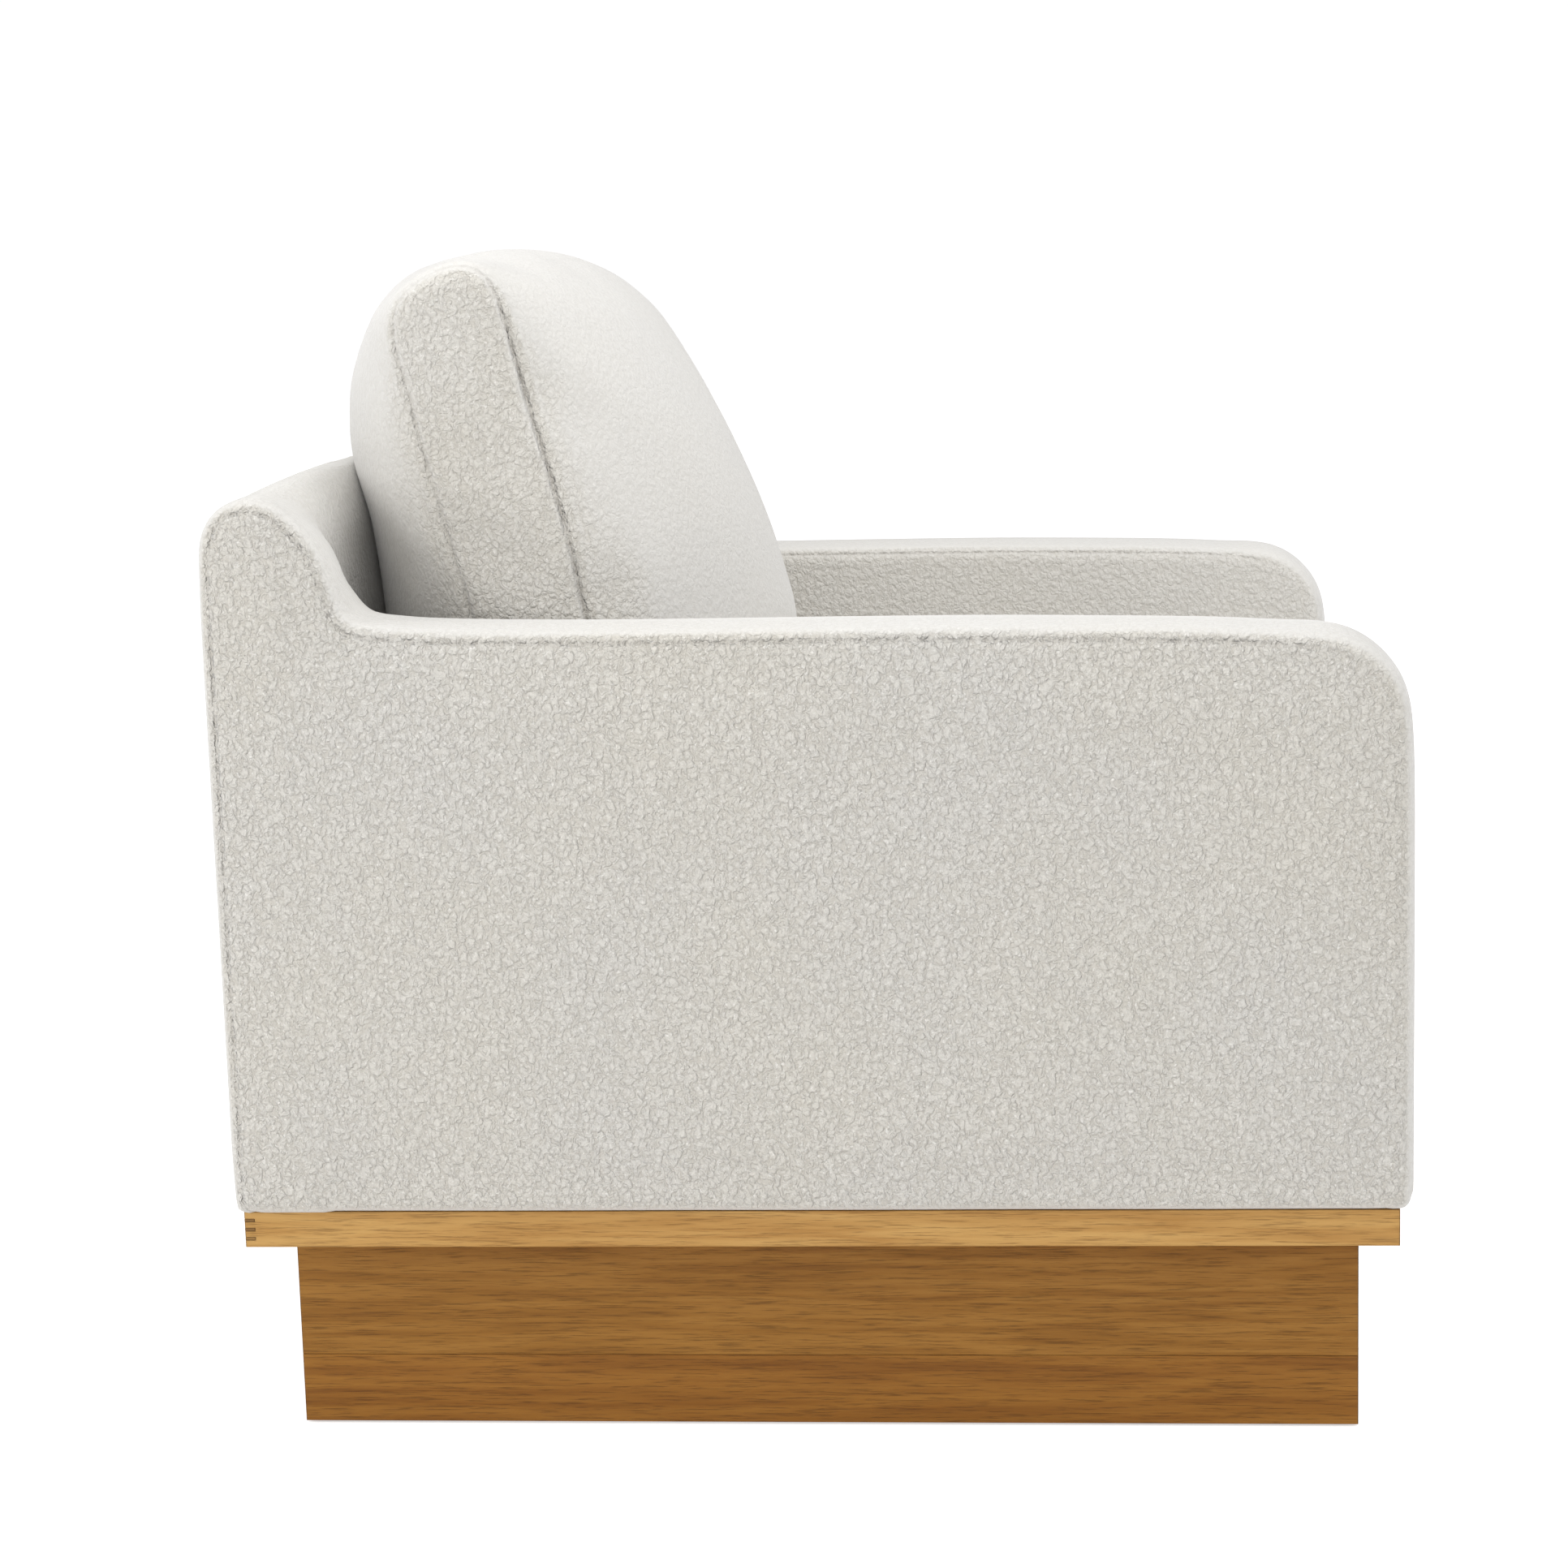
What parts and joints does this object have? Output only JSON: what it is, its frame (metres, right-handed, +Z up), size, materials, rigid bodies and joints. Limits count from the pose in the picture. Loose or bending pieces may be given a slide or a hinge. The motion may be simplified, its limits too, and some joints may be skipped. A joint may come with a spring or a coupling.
{
  "type": "lounge armchair",
  "caption": "Boxy lounge armchair: sherpa-covered body, loose seat and back cushions, wooden platform frame on a set-back plinth.",
  "frame": {"origin": "on the floor, under the middle of the bounding box", "axes": "+Z up; the sitter faces -Y; the sitter's right arm is at -X"},
  "size_m": [0.766, 0.838, 0.8556],
  "materials": {
    "sherpa": "cream sherpa boucle, matt, curled pile",
    "platform_wood": "light golden teak, satin, fine straight grain",
    "plinth_wood": "golden brown teak boards, satin, straight grain",
    "key_wood": "dark corner key, end grain",
    "frame_wood": "unfinished pine",
    "steel": "zinc-plated steel",
    "deck_felt": "needled felt decking",
    "foam": "open-cell cushion foam",
    "zip_tape": "woven zip tape with moulded teeth",
    "glide": "dark hard felt and nylon floor glide"
  },
  "bodies": {
    "root": {"arm_bottom_rail_left": "frame_wood", "arm_bottom_rail_right": "frame_wood", "arm_cover_left": "sherpa", "arm_cover_right": "sherpa", "arm_front_post_left": "frame_wood", "arm_front_post_right": "frame_wood", "arm_top_rail_left": "frame_wood", "arm_top_rail_right": "frame_wood", "back_cover": "sherpa", "back_post_left": "frame_wood", "back_post_right": "frame_wood", "back_top_rail": "frame_wood", "floor_glide_front_left": "glide", "floor_glide_front_right": "glide", "floor_glide_rear_left": "glide", "floor_glide_rear_right": "glide", "front_rail_cover": "sherpa", "platform_rail_front": "platform_wood", "platform_rail_left": "platform_wood", "platform_rail_rear": "platform_wood", "platform_rail_right": "platform_wood", "platform_screw_front_left": "steel", "platform_screw_front_right": "steel", "platform_screw_rear_left": "steel", "platform_screw_rear_right": "steel", "plinth_corner_block_front_left": "frame_wood", "plinth_corner_block_front_right": "frame_wood", "plinth_corner_block_rear_left": "frame_wood", "plinth_corner_block_rear_right": "frame_wood", "plinth_front_lower_board": "plinth_wood", "plinth_front_upper_board": "plinth_wood", "plinth_left_lower_board": "plinth_wood", "plinth_left_upper_board": "plinth_wood", "plinth_rear_lower_board": "plinth_wood", "plinth_rear_upper_board": "plinth_wood", "plinth_right_lower_board": "plinth_wood", "plinth_right_upper_board": "plinth_wood", "rear_left_corner_key_1": "key_wood", "rear_left_corner_key_2": "key_wood", "rear_left_corner_key_3": "key_wood", "rear_right_corner_key_1": "key_wood", "rear_right_corner_key_2": "key_wood", "rear_right_corner_key_3": "key_wood", "seat_deck_pad": "deck_felt", "seat_front_rail": "frame_wood", "seat_rear_rail": "frame_wood", "seat_spring_1": "steel", "seat_spring_2": "steel", "seat_spring_3": "steel", "seat_spring_4": "steel", "spring_clip_strip_front": "steel", "spring_clip_strip_rear": "steel"},
    "seat_cushion": {"seat_cushion_core": "foam", "seat_cushion_cover": "sherpa", "seat_cushion_zip_chain": "zip_tape"},
    "back_cushion": {"back_cushion_core": "foam", "back_cushion_cover": "sherpa", "back_cushion_zip_chain": "zip_tape"},
    "seat_zip_slider": {"seat_cushion_zip_slider": "steel"},
    "back_zip_slider": {"back_cushion_zip_slider": "steel"}
  },
  "joints": [
    {"name": "seat_cushion_slide", "type": "slide", "parent": "root", "child": "seat_cushion", "axis": [0, -1, 0], "range_m": [0, 0.76]},
    {"name": "back_cushion_lift", "type": "slide", "parent": "root", "child": "back_cushion", "axis": [0, 0, 1], "range_m": [0, 0.3]},
    {"name": "seat_zip_run", "type": "slide", "parent": "seat_cushion", "child": "seat_zip_slider", "axis": [-1, 0, 0], "range_m": [0, 0.42]},
    {"name": "back_zip_run", "type": "slide", "parent": "back_cushion", "child": "back_zip_slider", "axis": [-1, 0, 0], "range_m": [0, 0.42]}
  ]
}
